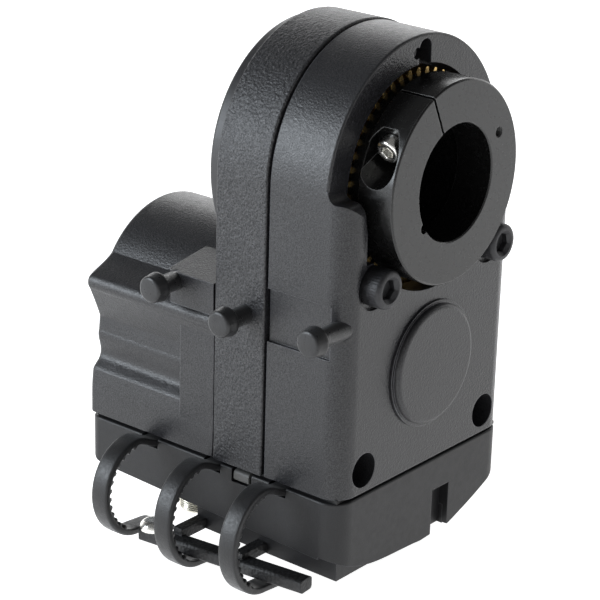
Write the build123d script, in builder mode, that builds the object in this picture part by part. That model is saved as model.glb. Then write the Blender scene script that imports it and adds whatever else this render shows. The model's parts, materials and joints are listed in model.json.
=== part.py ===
from build123d import *
from math import acos, atan2, cos, degrees, hypot, pi, radians, sin, sqrt, tan
import os

# Telescope focus motor, millimetres. The origin is the centre of the clamp collar's front face.
# +X runs to the right along the front, +Y runs back along the collar's axis, +Z is up.

# ---- Driving dimensions -------------------------------------------------------------------------
collar_radius = 22.0
collar_bore_radius = 12.7
collar_depth = 9.0
body_radius = 30.2
front_radius = 29.7
lower_face_y = 4.8
arch_face_y = 10.4
front_seam_y = 25.8
rear_seam_y = 40.0
back_cover_y = 43.3
back_y = 77.6
seam_z = -65.0
cover_top_z = -65.8
skirt_front_z = -79.6
skirt_back_z = -76.8
skirt_round = 3.5
foot_bottom_z = -84.2
corner_radius = 5.0
groove_width = 0.5
groove_depth = 0.6
wall = 2.4
ledge_round = 2.8
ledge_top = 2.4

# Rotating hub, bearings and gears
hub_bore_radius = 13.4
hub_radius = 17.5
opening_radius = 23.4
bearing_radius = 22.0
bearing_width = 5.0
bearing_lip_radius = 21.2
front_bearing_y = 17.0
back_bearing_y = 32.0
ball_radius = 1.1
ball_count = 16
hub_back_y = 39.7
running_gap = 0.05
flange_radius = 21.3
edge_round = 0.5
gear_module = 0.94
ring_teeth = 46
idler_pinion_teeth = 14
idler_wheel_teeth = 20
motor_pinion_teeth = 12
addendum = 0.8
dedendum = 1.15
backlash = 0.3
ring_gear_y = 11.4
ring_gear_width = 4.8
wheel_y = 23.4
wheel_width = 5.0
motor_x = -5.0
motor_z = -40.7
axle_radius = 2.0
motor_shaft_radius = 3.0
gearbox_radius = 16.0
gearbox_y = 34.0
gearbox_length = 16.0
motor_radius = 14.0
motor_end_y = 72.0
bulge_radius = 22.1

# Fasteners and small parts
cap_screw_x = 20.2
cap_screw_z = -18.6
deep_screw_x = 21.6
deep_screw_z = -59.8
peg_places = {"peg_front": (7.2, -26.8), "peg_middle": (31.2, -29.0), "peg_back": (51.4, -26.7)}
peg_face_x = {"peg_front": -39.0, "peg_middle": -39.0, "peg_back": -38.3}
peg_stem_radius = 2.15
peg_head_radius = 3.3
strap_places = {"strap_front": 21.4, "strap_middle": 40.0, "strap_back": 58.7}
strap_width = 4.6
slit_angle = 115.0
slit_width = 0.7
clamp_reach = 15.9
clamp_y = 5.0
clamp_seat = 9.2
clamp_pocket_radius = 4.4
clamp_head_radius = 2.75
clamp_head_length = 3.0
clamp_shank_radius = 1.5
arch_slot_place = (1.2, 24.9)
arch_screw_place = (-1.6, 25.9)
arch_screw_radius = 1.25
slot_x_low = 3.8
slot_x_high = 10.0
slot_back_y = 8.6
socket_x = -22.0
socket_y = 51.0
board_bottom_z = -72.0
board_top_z = -70.4
base_screw_x = 17.0
base_screw_y = 20.5
rear_base_screw_x = 14.0
rear_base_screw_y = 69.0
base_screw_radius = 1.25
base_screw_hole = 1.6
board_screw_places = [(-12, 30), (20, 30), (-12, 58), (20, 58)]
rear_screw_centres = [(-24.0, -58.5), (23.6, -58.5), (22.6, -43.6)]
boss_x = 0.5
boss_z = -41.8
boss_radius = 13.5
boss_rim_radius = 14.2
boss_rim_height = 0.5
boss_seat_radius = 12.2

# ---- Values worked out from them ----------------------------------------------------------------
ring_pitch = gear_module * ring_teeth / 2
idler_pitch = gear_module * idler_pinion_teeth / 2
wheel_pitch = gear_module * idler_wheel_teeth / 2
pinion_pitch = gear_module * motor_pinion_teeth / 2
hub_to_idler = ring_pitch + idler_pitch
idler_to_motor = wheel_pitch + pinion_pitch
hub_to_motor = hypot(motor_x, motor_z)
motor_direction = atan2(motor_z, motor_x)
hub_corner = acos((hub_to_idler**2 + hub_to_motor**2 - idler_to_motor**2) / (2 * hub_to_idler * hub_to_motor))
idler_x = hub_to_idler * cos(motor_direction + hub_corner)
idler_z = hub_to_idler * sin(motor_direction + hub_corner)
idler_direction = degrees(atan2(idler_z, idler_x))
wheel_direction = degrees(atan2(motor_z - idler_z, motor_x - idler_x))

os.makedirs("parts", exist_ok=True)


def at(y):
    """Sketch plane across the collar's axis at depth y: sketch x is X, sketch y is Z."""
    return Plane.XZ.offset(-y)


def back(length):
    """Extrude amount that carries a sketch on such a plane towards +Y."""
    return -length


def save(part, name):
    part.part.label = name
    export_step(part.part, f"parts/{name}.step")


def body_outline(radius):
    """Arch over a straight-sided body, down to the seam."""
    Circle(radius)
    with Locations((0, seam_z / 2)):
        Rectangle(2 * radius, -seam_z)


def disc(y_start, y_end, outer, inner=0.0, centre=(0.0, 0.0), mode=Mode.ADD):
    """Round disc or ring about an axis along Y."""
    with BuildSketch(at(y_start)) as section:
        with Locations(centre):
            Circle(outer)
            if inner > 0:
                Circle(inner, mode=Mode.SUBTRACT)
    extrude(section.sketch, amount=back(y_end - y_start), mode=mode)


def block(x_low, x_high, y_low, y_high, z_low, z_high, mode=Mode.ADD):
    """Straight block between two corners."""
    with Locations(((x_low + x_high) / 2, (y_low + y_high) / 2, (z_low + z_high) / 2)):
        Box(x_high - x_low, y_high - y_low, z_high - z_low, mode=mode)


def upright(x, y, z_low, z_high, radius, mode=Mode.ADD):
    """Round post or hole along Z."""
    with BuildSketch(Plane.XY.offset(z_low)) as section:
        with Locations((x, y)):
            Circle(radius)
    extrude(section.sketch, amount=z_high - z_low, mode=mode)


def socket_screws(centres, face_y, head_radius, head_length, shank_radius, tip_y, socket_radius):
    """Socket head screws along Y, with their heads towards the front."""
    seat_y = face_y + head_length
    for centre in centres:
        disc(face_y, seat_y, head_radius, centre=centre)
    rims = edges().filter_by(GeomType.CIRCLE).filter_by(lambda e: abs(e.center().Y - face_y) < 0.01)
    chamfer(rims, 0.1 * head_radius)
    for centre in centres:
        disc(seat_y, tip_y, shank_radius, centre=centre)
    hex_sockets(centres, face_y, socket_radius, 0.55 * head_length)


def hex_sockets(centres, face_y, socket_radius, depth):
    """Hexagonal recesses cut into faces that look towards the front."""
    with BuildSketch(at(face_y)) as section:
        with Locations(*centres):
            RegularPolygon(socket_radius, 6)
    extrude(section.sketch, amount=back(depth), mode=Mode.SUBTRACT)


def gear_points(teeth, phase):
    """Tooth outline with involute flanks, its first tooth centred on the phase angle in degrees."""
    pitch = gear_module * teeth / 2
    base = pitch * cos(radians(20))
    tip = pitch + addendum * gear_module
    root = pitch - dedendum * gear_module
    half_tooth = (pi * gear_module / 2 - backlash) / (2 * pitch)
    flank_zero = half_tooth + tan(radians(20)) - radians(20)
    flank_start = max(base, root + 0.05)
    radii = [root] + [flank_start + (tip - flank_start) * step / 4 for step in range(5)]
    flank = []
    for radius in radii:
        slope = acos(min(1.0, base / radius))
        flank.append((radius, flank_zero - tan(slope) + slope))
    points = []
    for tooth in range(teeth):
        middle = radians(phase) + 2 * pi * tooth / teeth
        points += [(radius * cos(middle - a), radius * sin(middle - a)) for radius, a in flank]
        points += [(radius * cos(middle + a), radius * sin(middle + a)) for radius, a in reversed(flank)]
    return points


def gear_teeth(teeth, phase, y_start, y_end, centre=(0.0, 0.0)):
    """Toothed disc about an axis along Y."""
    with BuildSketch(at(y_start)) as section:
        with Locations(centre):
            Polygon(*gear_points(teeth, phase), align=None)
    extrude(section.sketch, amount=back(y_end - y_start))


# ---- Housings -----------------------------------------------------------------------------------
idler_centre = (idler_x, idler_z)
motor_centre = (motor_x, motor_z)
cap_screw_centres = [(-cap_screw_x, cap_screw_z), (cap_screw_x, cap_screw_z)]
deep_screw_centres = [(-deep_screw_x, deep_screw_z), (deep_screw_x, deep_screw_z)]
boss_centre = (boss_x, boss_z)
cover_screw_centres = [(26.2 * cos(radians(turn)), 26.2 * sin(radians(turn))) for turn in (20, 90, 160)]
gearbox_screw_centres = []
for turn in (112, 226, 350):
    gearbox_screw_centres.append((motor_x + 12 * cos(radians(turn)), motor_z + 12 * sin(radians(turn))))

with BuildPart() as lower_body:
    # Lower half of the front casting: it stands proud of the arch, with a rounded ledge at its top
    with BuildSketch(Plane.YZ.offset(-front_radius)):
        with BuildLine():
            Polyline((arch_face_y + 0.5, ledge_top), (arch_face_y + 0.5, seam_z), (lower_face_y, seam_z))
            Line((lower_face_y, seam_z), (lower_face_y, -ledge_round))
            RadiusArc((lower_face_y, -ledge_round), (lower_face_y + ledge_round, 0), ledge_round)
            Line((lower_face_y + ledge_round, 0), (arch_face_y - ledge_top, 0))
            RadiusArc((arch_face_y - ledge_top, 0), (arch_face_y, ledge_top), -ledge_top)
            Line((arch_face_y, ledge_top), (arch_face_y + 0.5, ledge_top))
        make_face()
    extrude(amount=2 * front_radius)
    with BuildSketch(Plane.XY.offset(seam_z)) as plan:
        with Locations((0, lower_face_y + 10)):
            Rectangle(2 * front_radius, 20)
        fillet(plan.vertices().group_by(Axis.Y)[0], corner_radius)
    extrude(amount=-seam_z + ledge_top, mode=Mode.INTERSECT)

with BuildPart() as front_housing:
    with BuildSketch(at(arch_face_y)):
        body_outline(front_radius)
    extrude(amount=back(front_seam_y - arch_face_y), taper=-0.6)
    fillet(faces().sort_by(Axis.Y)[0].edges(), edge_round)
    add(lower_body.part)
    block(-32, 32, 0, front_seam_y, seam_z - 2, seam_z, mode=Mode.SUBTRACT)
    # Shadow groove round the rear edge, where the mid frame meets it
    with BuildSketch(at(front_seam_y - groove_width)) as groove:
        body_outline(33)
    with BuildSketch(at(front_seam_y - groove_width)) as groove_core:
        body_outline(front_radius - groove_depth)
    extrude(groove.sketch - groove_core.sketch, amount=back(groove_width), mode=Mode.SUBTRACT)
    # Pocket round the collar's lower half, with straight sides and the cap screws' seats
    with BuildSketch(at(lower_face_y)):
        Circle(24.3)
        with Locations((0, -5)):
            Rectangle(46.6, 18)
    extrude(amount=back(arch_face_y - lower_face_y), mode=Mode.SUBTRACT)
    for centre in cap_screw_centres:
        disc(lower_face_y, 5.7, 5.3, centre=centre, mode=Mode.SUBTRACT)
        disc(5.7, front_seam_y, 2.5, centre=centre, mode=Mode.SUBTRACT)
    for centre in deep_screw_centres:
        disc(lower_face_y, 17.0, 3.9, centre=centre, mode=Mode.SUBTRACT)
        disc(17.0, front_seam_y, 2.0, centre=centre, mode=Mode.SUBTRACT)
    # Gear chamber, bearing lip and bearing seat
    disc(arch_face_y, front_bearing_y - 0.4, opening_radius, mode=Mode.SUBTRACT)
    disc(arch_face_y, front_bearing_y, bearing_lip_radius, mode=Mode.SUBTRACT)
    disc(front_bearing_y, front_seam_y, bearing_radius, mode=Mode.SUBTRACT)
    # Gear room behind the lower face
    with BuildSketch(at(lower_face_y + wall)):
        with Locations((0, -39)):
            Rectangle(47, 26)
        with Locations((0, -44)):
            Rectangle(26, 36)
    extrude(amount=back(front_seam_y - lower_face_y - wall), mode=Mode.SUBTRACT)
    disc(arch_face_y, front_bearing_y, 9.2, centre=idler_centre, mode=Mode.SUBTRACT)
    disc(arch_face_y, wheel_y - 0.8, 5.7, centre=idler_centre, mode=Mode.SUBTRACT)
    disc(wheel_y - 0.8, front_seam_y, 12.0, centre=idler_centre, mode=Mode.SUBTRACT)
    # Idler axle boss on the inside of the front wall, and the opening that the boss cap closes
    disc(lower_face_y + wall, 10.2, 4.2, centre=idler_centre)
    disc(6.4, 10.2, axle_radius, centre=idler_centre, mode=Mode.SUBTRACT)
    disc(lower_face_y, lower_face_y + 1.2, boss_seat_radius, centre=boss_centre, mode=Mode.SUBTRACT)
    # Slot and locking screw hole at the top of the arch
    with BuildSketch(at(arch_face_y)):
        with Locations(arch_slot_place):
            SlotOverall(7.5, 4.2, rotation=90)
    extrude(amount=back(front_bearing_y - 0.4 - arch_face_y), mode=Mode.SUBTRACT)
    disc(arch_face_y, arch_face_y + 4.0, arch_screw_radius, centre=arch_screw_place, mode=Mode.SUBTRACT)
    # Threaded holes for the base screws
    for x in (-base_screw_x, base_screw_x):
        upright(x, base_screw_y, seam_z, seam_z + 9, base_screw_radius, mode=Mode.SUBTRACT)
    # Shallow recess and socket for the front peg
    block(-31, -29.1, 8.7, front_seam_y, -33.6, -21.8, mode=Mode.SUBTRACT)
    with BuildSketch(Plane.YZ.offset(-27.0)):
        with Locations(peg_places["peg_front"]):
            Circle(peg_stem_radius)
    extrude(amount=-6, mode=Mode.SUBTRACT)
save(front_housing, "front_housing")

with BuildPart() as mid_frame:
    with BuildSketch(at(front_seam_y + 0.2)):
        body_outline(body_radius)
    extrude(amount=back(rear_seam_y - front_seam_y - 0.4))
    for plate_face in (faces().sort_by(Axis.Y)[0], faces().sort_by(Axis.Y)[-1]):
        fillet(plate_face.edges(), 0.4)
    disc(front_seam_y, back_bearing_y - 0.5, bearing_radius, mode=Mode.SUBTRACT)
    disc(front_seam_y, back_bearing_y, bearing_lip_radius, mode=Mode.SUBTRACT)
    disc(back_bearing_y, rear_seam_y, bearing_radius, mode=Mode.SUBTRACT)
    disc(back_bearing_y + bearing_width, back_bearing_y + bearing_width + 1.2, 22.8, mode=Mode.SUBTRACT)
    # Gear room in front of the web, gearbox socket behind it
    with BuildSketch(at(front_seam_y)):
        with Locations((0, -39)):
            Rectangle(47, 26)
        with Locations(idler_centre):
            Circle(12)
    extrude(amount=back(3.7), mode=Mode.SUBTRACT)
    disc(front_seam_y, rear_seam_y, 6.2, centre=motor_centre, mode=Mode.SUBTRACT)
    disc(gearbox_y, rear_seam_y, gearbox_radius + 0.1, centre=motor_centre, mode=Mode.SUBTRACT)
    disc(29.0, gearbox_y - 1.5, axle_radius, centre=idler_centre, mode=Mode.SUBTRACT)
    for centre in gearbox_screw_centres:
        disc(29.0, gearbox_y, 1.25, centre=centre, mode=Mode.SUBTRACT)
    for centre in cap_screw_centres:
        disc(front_seam_y, rear_seam_y - 3, 2.5, centre=centre, mode=Mode.SUBTRACT)
    for centre in deep_screw_centres:
        disc(front_seam_y, rear_seam_y - 2, 2.0, centre=centre, mode=Mode.SUBTRACT)
    for centre in cover_screw_centres:
        disc(rear_seam_y - 5.5, rear_seam_y, 1.0, centre=centre, mode=Mode.SUBTRACT)
    with BuildSketch(Plane.YZ.offset(-27.0)):
        with Locations(peg_places["peg_middle"]):
            Circle(peg_stem_radius)
    extrude(amount=-6, mode=Mode.SUBTRACT)
save(mid_frame, "mid_frame")

with BuildPart() as back_ring_cover:
    with BuildSketch(at(rear_seam_y)):
        Circle(28.9)
    extrude(amount=back(back_cover_y - rear_seam_y), taper=6)
    outer_rim = edges().filter_by(GeomType.CIRCLE).sort_by(Axis.Y)[-1]
    fillet(outer_rim, 0.9)
    disc(rear_seam_y, back_cover_y - 1.5, 24.0, mode=Mode.SUBTRACT)
    disc(back_cover_y - 0.5, back_cover_y, 19.0, 17.8, mode=Mode.SUBTRACT)
    for centre in cover_screw_centres:
        disc(rear_seam_y, back_cover_y, 1.0, centre=centre, mode=Mode.SUBTRACT)
        disc(back_cover_y - 1.3, back_cover_y, 2.0, centre=centre, mode=Mode.SUBTRACT)
    # The lower part gives way to the motor housing
    disc(rear_seam_y, back_cover_y, bulge_radius + 0.3, centre=motor_centre, mode=Mode.SUBTRACT)
    block(-30, 30, rear_seam_y, back_cover_y, -30, -21.6, mode=Mode.SUBTRACT)
save(back_ring_cover, "back_ring_cover")

# The motor housing's section: a bulge round the motor, flared out to a ridge, with scooped sides
panel_end_y = 50.0
bulge_left = (-23.2, motor_z + sqrt(bulge_radius**2 - (-23.2 - motor_x) ** 2))
bulge_right = (motor_x + bulge_radius * cos(radians(20)), motor_z + bulge_radius * sin(radians(20)))
with BuildPart() as motor_housing:
    with BuildSketch(at(rear_seam_y + 0.2)):
        with BuildLine():
            Spline((-29.9, -61.5), (-29.8, -58.0), (-29.4, -54.6))
            Spline(
                (-29.4, -54.6), (-28.4, -53.4), (-27.3, -52.2), (-27.0, -50.6), (-27.4, -48.6), (-27.5, -45.6)
            )
            Line((-27.5, -45.6), (-27.2, -42.4))
            Spline((-27.2, -42.4), (-28.5, -39.2), (-30.4, -35.0))
            ThreePointArc((-30.4, -35.0), (-30.9, -33.1), (-29.9, -31.6))
            Spline((-29.9, -31.6), (-27.4, -30.4), (-24.8, -29.2), bulge_left)
            ThreePointArc(bulge_left, (motor_x, motor_z + bulge_radius), bulge_right)
            Spline(bulge_right, (18.6, -36.6), (23.0, -38.6), (28.0, -39.0))
            ThreePointArc((28.0, -39.0), (29.35, -39.6), (29.9, -41.0))
            Polyline((29.9, -41.0), (29.9, seam_z), (-29.9, seam_z), (-29.9, -61.5))
        make_face()
    extrude(amount=back(back_y - rear_seam_y - 0.2))
    rear_rim = faces().sort_by(Axis.Y)[-1].edges()
    fillet(rear_rim, 1.2)
    # Flat panel beside the mid frame and the block that carries the back peg
    block(-29.8, -20, rear_seam_y + 0.2, panel_end_y, seam_z, -33.4)
    with BuildSketch(at(rear_seam_y + 0.2)):
        with BuildLine():
            Polyline((-30.2, -33.4), (-30.2, -24.6), (-14.0, -21.9), (-14.0, -33.4), (-30.2, -33.4))
        make_face()
    extrude(amount=back(53.4 - rear_seam_y))
    block_corner = edges().filter_by(Axis.Z).filter_by(lambda e: e.center().X < -30.1 and e.center().Y > 53)
    fillet(block_corner, 1.6)
    # Motor room
    disc(rear_seam_y, back_y - wall, bulge_radius - 2.5, centre=motor_centre, mode=Mode.SUBTRACT)
    block(-23.4, 27.2, rear_seam_y, back_y - wall, -63.0, -44.0, mode=Mode.SUBTRACT)
    for x in (-rear_base_screw_x, rear_base_screw_x):
        upright(x, rear_base_screw_y, -63.2, -55.0, 3.4)
    # Posts and recesses of the long screws that come in from the back
    for centre in rear_screw_centres:
        disc(rear_seam_y + 0.2, back_y - 0.5, 3.8, centre=centre)
        disc(rear_seam_y, back_y, 1.6, centre=centre, mode=Mode.SUBTRACT)
        disc(back_y - 4.0, back_y, 3.1, centre=centre, mode=Mode.SUBTRACT)
    for x in (-rear_base_screw_x, rear_base_screw_x):
        upright(x, rear_base_screw_y, seam_z, seam_z + 8, base_screw_radius, mode=Mode.SUBTRACT)
    # Shallow round seat on the back face behind the motor
    disc(back_y - 0.8, back_y, 13.0, centre=motor_centre, mode=Mode.SUBTRACT)
    with BuildSketch(Plane.YZ.offset(-27.0)):
        with Locations(peg_places["peg_back"]):
            Circle(peg_stem_radius)
    extrude(amount=-6, mode=Mode.SUBTRACT)
save(motor_housing, "motor_housing")

# ---- Base ---------------------------------------------------------------------------------------
with BuildPart() as base_cover:
    with BuildSketch(Plane.XY.offset(cover_top_z)) as plan:
        with Locations((0, (lower_face_y + back_y) / 2)):
            Rectangle(60.2, back_y - lower_face_y)
        fillet(plan.vertices().group_by(Axis.Y)[0], corner_radius)
        fillet(plan.vertices().group_by(Axis.Y)[-1], 3.0)
    extrude(amount=-19.5)
    fillet(faces().sort_by(Axis.Z)[-1].edges(), edge_round)
    # Side skirts and underside, rising gently towards the back
    with BuildSketch(Plane.YZ.offset(-35)):
        Polygon(
            (lower_face_y + 1.4, -90), (lower_face_y + 1.4, skirt_front_z), (back_y + 1, skirt_back_z),
            (back_y + 1, -90), align=None,
        )
    extrude(amount=70, mode=Mode.SUBTRACT)
    with BuildSketch(Plane.YZ.offset(-35)):
        with Locations((back_y, skirt_back_z)):
            Rectangle(2 * skirt_round, 2 * skirt_round)
        with Locations((back_y - skirt_round, skirt_back_z + skirt_round)):
            Circle(skirt_round, mode=Mode.SUBTRACT)
    extrude(amount=70, mode=Mode.SUBTRACT)
    # Belly of the front panel
    with BuildSketch(at(lower_face_y - 1)):
        with BuildLine():
            Spline((-31, -78.4), (-26.7, -80.6), (-20.0, -82.8), (-12.0, -83.8), (0.2, -84.5))
            Line((0.2, -84.5), (10.5, -83.9))
            Spline((10.5, -83.9), (15.6, -82.1), (24.0, -78.7), (28.4, -76.2), (31, -72.8))
            Polyline((31, -72.8), (31, -90), (-31, -90), (-31, -78.4))
        make_face()
    extrude(amount=back(6), mode=Mode.SUBTRACT)
    # Room for the electronics, and the notch at the front
    block(-27.7, 27.7, lower_face_y + wall, back_y - wall, -74.8, cover_top_z, mode=Mode.SUBTRACT)
    block(slot_x_low, slot_x_high, lower_face_y, slot_back_y, -90, -73.5, mode=Mode.SUBTRACT)
    for x in (-base_screw_x, base_screw_x):
        upright(x, base_screw_y, -74.9, cover_top_z, 3.2)
        upright(x, base_screw_y, -85, cover_top_z, base_screw_hole, mode=Mode.SUBTRACT)
    for x in (-rear_base_screw_x, rear_base_screw_x):
        upright(x, rear_base_screw_y, -74.9, cover_top_z, 3.8)
        upright(x, rear_base_screw_y, -85, cover_top_z, base_screw_hole, mode=Mode.SUBTRACT)
        upright(x, rear_base_screw_y, -85, -74.4, 2.9, mode=Mode.SUBTRACT)
    for x, y in board_screw_places:
        upright(x, y, -74.9, board_bottom_z, 2.4)
        upright(x, y, -76.0, board_bottom_z, 0.9, mode=Mode.SUBTRACT)
    upright(socket_x, socket_y, -90, -70, 4.0, mode=Mode.SUBTRACT)
    # Strap slots and the latch notch in the left wall's top edge
    slot_half = strap_width / 2 + 0.1
    for y in strap_places.values():
        block(-31, -27, y - slot_half, y + slot_half, -68.1, cover_top_z, mode=Mode.SUBTRACT)
    block(-31, -27, 28.6, 34.4, -68.8, cover_top_z, mode=Mode.SUBTRACT)
save(base_cover, "base_cover")

foot_back_y = 46.0


def skirt_z(y):
    """Height of the cover's underside at depth y."""
    run = back_y + 1 - lower_face_y - 1.4
    return skirt_front_z + (skirt_back_z - skirt_front_z) * (y - lower_face_y - 1.4) / run


with BuildPart() as foot_plate:
    with BuildSketch(Plane.YZ.offset(-28.0)):
        Polygon(
            (lower_face_y + 1.4, foot_bottom_z), (lower_face_y + 1.4, skirt_z(lower_face_y + 1.4)),
            (foot_back_y, skirt_z(foot_back_y)), (foot_back_y, foot_bottom_z), align=None,
        )
    extrude(amount=52)
    # Right edge sloped up like the front panel's belly
    with BuildSketch(at(0)):
        Polygon((11, -85), (11, foot_bottom_z), (26, -79.4), (26, -85), align=None)
    extrude(amount=back(60), mode=Mode.SUBTRACT)
    block(slot_x_low, slot_x_high, 0, slot_back_y, -90, -70, mode=Mode.SUBTRACT)
    for x in (-base_screw_x, base_screw_x):
        upright(x, base_screw_y, -90, -70, base_screw_hole, mode=Mode.SUBTRACT)
        upright(x, base_screw_y, -90, -81.0, 3.0, mode=Mode.SUBTRACT)
    # Weight-saving grooves across the underside
    for y in (30.0, 38.0):
        block(-12, 12, y - 1.5, y + 1.5, -90, foot_bottom_z + 1.2, mode=Mode.SUBTRACT)
save(foot_plate, "foot_plate")

with BuildPart() as base_gasket:
    with BuildSketch(Plane.XY.offset(cover_top_z)):
        with Locations((0, (lower_face_y + back_y) / 2)):
            Rectangle(57.4, back_y - lower_face_y - 2.8)
            Rectangle(55.6, back_y - lower_face_y - 4.6, mode=Mode.SUBTRACT)
    extrude(amount=seam_z - cover_top_z)
    for y in strap_places.values():
        block(-31, -27, y - 2.6, y + 2.6, -67, -65, mode=Mode.SUBTRACT)
save(base_gasket, "base_gasket")

with BuildPart() as slot_insert:
    block(slot_x_low - 1.5, slot_x_high + 1.5, slot_back_y + 0.1, 10.6, -74.7, -72.0)
    block(slot_x_low, slot_x_high, slot_back_y - 1.3, slot_back_y, -84.0, -73.6)
    block(slot_x_low + 0.4, slot_x_high - 0.4, slot_back_y - 0.1, slot_back_y + 0.2, -74.6, -73.7)
save(slot_insert, "slot_insert")

with BuildPart() as snap_tab:
    block(-30.2, -28.0, 29.4, 33.6, -68.4, -65.9)
    tab_edge = edges().filter_by(Axis.Y).filter_by(lambda e: e.center().X < -30)
    fillet(tab_edge, 0.8)
save(snap_tab, "snap_tab")

with BuildPart() as base_screws:
    for x in (-base_screw_x, base_screw_x):
        upright(x, base_screw_y, -81.0, seam_z + 7.5, base_screw_radius)
        upright(x, base_screw_y, -83.4, -81.0, 2.7)
        with BuildSketch(Plane.XY.offset(-83.4)):
            with Locations((x, base_screw_y)):
                RegularPolygon(1.4, 6)
        extrude(amount=1.4, mode=Mode.SUBTRACT)
    for x in (-rear_base_screw_x, rear_base_screw_x):
        upright(x, rear_base_screw_y, -74.4, seam_z + 6.5, base_screw_radius)
        upright(x, rear_base_screw_y, -76.8, -74.4, 2.7)
        with BuildSketch(Plane.XY.offset(-76.8)):
            with Locations((x, rear_base_screw_y)):
                RegularPolygon(1.4, 6)
        extrude(amount=1.4, mode=Mode.SUBTRACT)
save(base_screws, "base_screws")

with BuildPart() as power_socket:
    upright(socket_x, socket_y, -83.2, -72.4, 4.0)
    upright(socket_x, socket_y, -83.2, -79.4, 4.4)
    for turn in range(4):
        ring_z = -82.6 + turn * 0.95
        with BuildSketch(at(socket_y)):
            with Locations((socket_x + 4.6, ring_z)):
                Polygon((0, 0.35), (-0.5, 0), (0, -0.35), align=None)
        revolve(axis=Axis((socket_x, socket_y, 0), (0, 0, 1)), mode=Mode.SUBTRACT)
    upright(socket_x, socket_y, -83.2, -76.0, 2.8, mode=Mode.SUBTRACT)
    upright(socket_x, socket_y, -81.2, -76.0, 1.0)
save(power_socket, "power_socket")

with BuildPart() as socket_nut:
    with BuildSketch(Plane.XY.offset(-74.8)):
        with Locations((socket_x, socket_y)):
            RegularPolygon(5.2, 6, rotation=30)
            Circle(4.0, mode=Mode.SUBTRACT)
    extrude(amount=1.8)
save(socket_nut, "socket_nut")

with BuildPart() as circuit_board:
    block(-15.0, 23.0, 14.0, 63.0, board_bottom_z, board_top_z)
    for x in (-base_screw_x, base_screw_x):
        upright(x, base_screw_y, -73, -70, 3.6, mode=Mode.SUBTRACT)
    for x, y in board_screw_places:
        upright(x, y, -73, -70, 0.9, mode=Mode.SUBTRACT)
save(circuit_board, "circuit_board")

with BuildPart() as board_screws:
    for x, y in board_screw_places:
        upright(x, y, -75.6, board_top_z, 0.9)
        upright(x, y, board_top_z, -69.2, 1.9)
save(board_screws, "board_screws")

with BuildPart() as board_parts:
    block(0, 9, 38, 47, board_top_z, -69.2)
    block(-8, -3, 20, 28, board_top_z, -68.8)
    block(1, 12, 16, 22, board_top_z, -66.6)
    block(12, 17, 50, 56, board_top_z, -69.0)
    upright(-6, 50, board_top_z, -66.4, 2.6)
    upright(4, 58, board_top_z, -66.4, 2.6)
save(board_parts, "board_parts")

# ---- Hub, collar and bearings -------------------------------------------------------------------
pin_radius = 1.0
pin_front_y = 6.0
pin_centres = []
for turn in (60, 180, 300):
    pin_centres.append((19.2 * cos(radians(turn)), 19.2 * sin(radians(turn))))
with BuildPart() as hub:
    disc(collar_depth, hub_back_y, hub_radius, hub_bore_radius)
    disc(collar_depth, ring_gear_y, flange_radius, hub_bore_radius)
    for centre in pin_centres:
        disc(collar_depth, ring_gear_y, pin_radius, centre=centre, mode=Mode.SUBTRACT)
save(hub, "hub")

slit_direction = (cos(radians(slit_angle)), sin(radians(slit_angle)))
clamp_direction = (-sin(radians(slit_angle)), cos(radians(slit_angle)))
clamp_middle = (clamp_reach * slit_direction[0], clamp_y, clamp_reach * slit_direction[1])
clamp_axis = (clamp_direction[0], 0.0, clamp_direction[1])
clamp_plane = Plane(origin=clamp_middle, z_dir=clamp_axis)
with BuildPart() as clamp_collar:
    disc(0, collar_depth, collar_radius, collar_bore_radius)
    rims = edges().filter_by(GeomType.CIRCLE)
    chamfer(rims.filter_by(lambda e: e.radius > 20), 0.35)
    chamfer(rims.filter_by(lambda e: e.radius < 20 and e.center().Y < 1), 0.25)
    # Slit, hinge relief opposite the slit, and tapped hole in the face
    with BuildSketch(at(0)):
        with Locations((17.5 * slit_direction[0], 17.5 * slit_direction[1])):
            Rectangle(12, slit_width, rotation=slit_angle)
        with Locations((12.9 * cos(radians(-145)), 12.9 * sin(radians(-145)))):
            Circle(1.2)
    extrude(amount=back(collar_depth), mode=Mode.SUBTRACT)
    disc(0, 6.0, 1.25, centre=(16.6 * cos(radians(28.5)), 16.6 * sin(radians(28.5))), mode=Mode.SUBTRACT)
    # Clamp screw's pocket, clearance hole and threaded hole across the slit
    with BuildSketch(clamp_plane.offset(clamp_seat)):
        Circle(clamp_pocket_radius)
    extrude(amount=20, mode=Mode.SUBTRACT)
    with BuildSketch(clamp_plane.offset(-9.0)):
        Circle(clamp_shank_radius + running_gap)
    extrude(amount=9.0 + clamp_seat, mode=Mode.SUBTRACT)
    for centre in pin_centres:
        disc(pin_front_y, collar_depth, pin_radius, centre=centre, mode=Mode.SUBTRACT)
save(clamp_collar, "clamp_collar")

with BuildPart() as clamp_screw:
    with BuildSketch(clamp_plane.offset(clamp_seat + 0.02)):
        Circle(clamp_head_radius)
    extrude(amount=clamp_head_length)
    head_rim = edges().filter_by(GeomType.CIRCLE).sort_by(Axis.X)[0]
    fillet(head_rim, 1.0)
    with BuildSketch(clamp_plane.offset(-8.6)):
        Circle(clamp_shank_radius)
    extrude(amount=8.62 + clamp_seat)
    with BuildSketch(clamp_plane.offset(clamp_seat + 0.02 + clamp_head_length)):
        RegularPolygon(1.45, 6)
    extrude(amount=-1.8, mode=Mode.SUBTRACT)
save(clamp_screw, "clamp_screw")

with BuildPart() as hub_pins:
    for centre in pin_centres:
        disc(pin_front_y, ring_gear_y, pin_radius, centre=centre)
save(hub_pins, "hub_pins")

with BuildPart() as ring_gear:
    gear_teeth(ring_teeth, idler_direction, ring_gear_y, ring_gear_y + ring_gear_width)
    disc(ring_gear_y, ring_gear_y + ring_gear_width, hub_radius, mode=Mode.SUBTRACT)
save(ring_gear, "ring_gear")

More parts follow.
